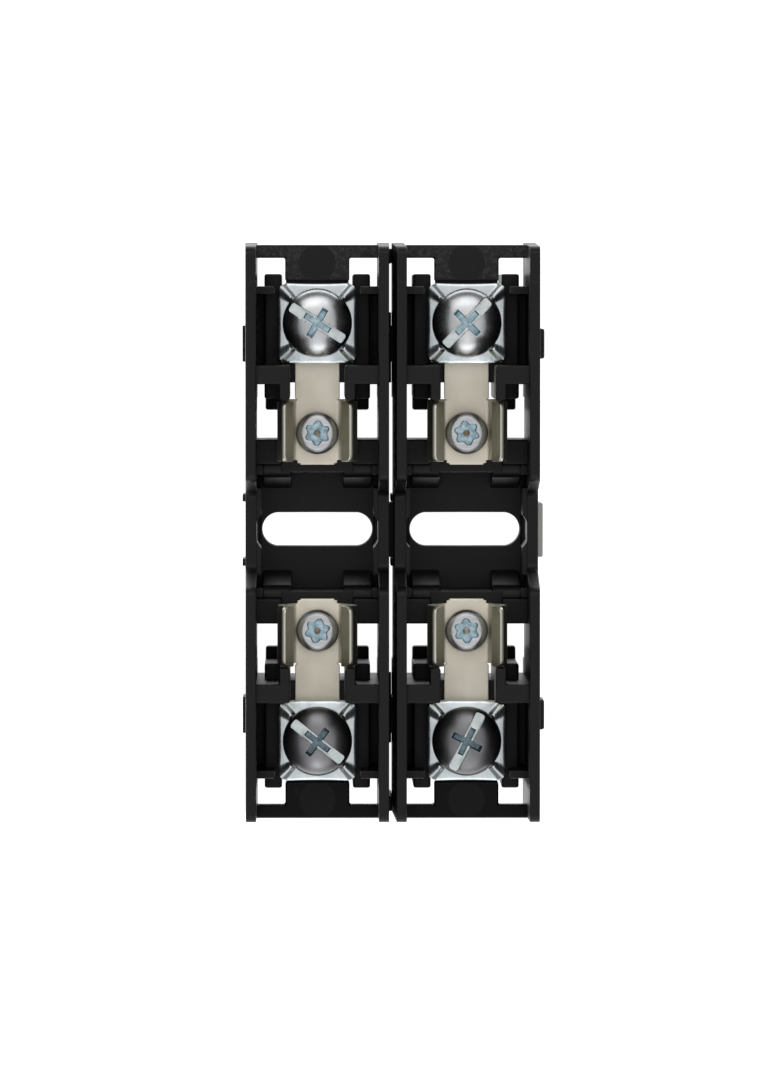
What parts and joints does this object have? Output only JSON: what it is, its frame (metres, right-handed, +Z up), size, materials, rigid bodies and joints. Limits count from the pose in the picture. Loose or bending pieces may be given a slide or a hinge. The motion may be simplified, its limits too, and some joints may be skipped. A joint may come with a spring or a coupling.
{
  "type": "cartridge fuse holder",
  "caption": "Open fuse block: moulded base modules carry spring clips for cylindrical cartridge fuses, with pressure-plate screw terminals at both ends.",
  "frame": {"origin": "middle of the mounting surface, between the two poles", "axes": "+X across the poles, +Y along the fuses, +Z up out of the mounting surface"},
  "size_m": [0.0409, 0.0778, 0.033],
  "materials": {
    "housing": "moulded black thermoplastic, low gloss, fine spark-eroded grain on the end shelves",
    "clip_metal": "tin-plated spring brass strip, satin, warm grey",
    "zinc_steel": "bright zinc-plated steel"
  },
  "bodies": {
    "holder": {"base_pole_1": "housing", "base_pole_2": "housing", "fuse_clip_line_1": "clip_metal", "clip_screw_line_1": "zinc_steel", "terminal_nut_line_1": "zinc_steel", "fuse_clip_load_1": "clip_metal", "clip_screw_load_1": "zinc_steel", "terminal_nut_load_1": "zinc_steel", "fuse_clip_line_2": "clip_metal", "clip_screw_line_2": "zinc_steel", "terminal_nut_line_2": "zinc_steel", "fuse_clip_load_2": "clip_metal", "clip_screw_load_2": "zinc_steel", "terminal_nut_load_2": "zinc_steel"},
    "clamp_line_1": {"pressure_plate_line_1": "zinc_steel"},
    "screw_line_1": {"terminal_screw_line_1": "zinc_steel"},
    "clamp_load_1": {"pressure_plate_load_1": "zinc_steel"},
    "screw_load_1": {"terminal_screw_load_1": "zinc_steel"},
    "clamp_line_2": {"pressure_plate_line_2": "zinc_steel"},
    "screw_line_2": {"terminal_screw_line_2": "zinc_steel"},
    "clamp_load_2": {"pressure_plate_load_2": "zinc_steel"},
    "screw_load_2": {"terminal_screw_load_2": "zinc_steel"}
  },
  "joints": [
    {"name": "clamp_lift_line_1", "type": "slide", "parent": "holder", "child": "clamp_line_1", "axis": [0, 0, 1], "range_m": [0, 0.003]},
    {"name": "screw_turn_line_1", "type": "hinge", "parent": "clamp_line_1", "child": "screw_line_1", "pos_m": [-0.01, 0.028, 0.022], "axis": [0, 0, 1], "range_deg": [0, 1361]},
    {"name": "clamp_lift_load_1", "type": "slide", "parent": "holder", "child": "clamp_load_1", "axis": [0, 0, 1], "range_m": [0, 0.003]},
    {"name": "screw_turn_load_1", "type": "hinge", "parent": "clamp_load_1", "child": "screw_load_1", "pos_m": [-0.01, -0.028, 0.022], "axis": [0, 0, 1], "range_deg": [0, 1361]},
    {"name": "clamp_lift_line_2", "type": "slide", "parent": "holder", "child": "clamp_line_2", "axis": [0, 0, 1], "range_m": [0, 0.003]},
    {"name": "screw_turn_line_2", "type": "hinge", "parent": "clamp_line_2", "child": "screw_line_2", "pos_m": [0.01, 0.028, 0.022], "axis": [0, 0, 1], "range_deg": [0, 1361]},
    {"name": "clamp_lift_load_2", "type": "slide", "parent": "holder", "child": "clamp_load_2", "axis": [0, 0, 1], "range_m": [0, 0.003]},
    {"name": "screw_turn_load_2", "type": "hinge", "parent": "clamp_load_2", "child": "screw_load_2", "pos_m": [0.01, -0.028, 0.022], "axis": [0, 0, 1], "range_deg": [0, 1361]}
  ],
  "couplings": [
    {"joint": "screw_turn_line_1", "follows": "clamp_lift_line_1", "rad_per_m": 7915.8},
    {"joint": "screw_turn_load_1", "follows": "clamp_lift_load_1", "rad_per_m": 7915.8},
    {"joint": "screw_turn_line_2", "follows": "clamp_lift_line_2", "rad_per_m": 7915.8},
    {"joint": "screw_turn_load_2", "follows": "clamp_lift_load_2", "rad_per_m": 7915.8}
  ]
}
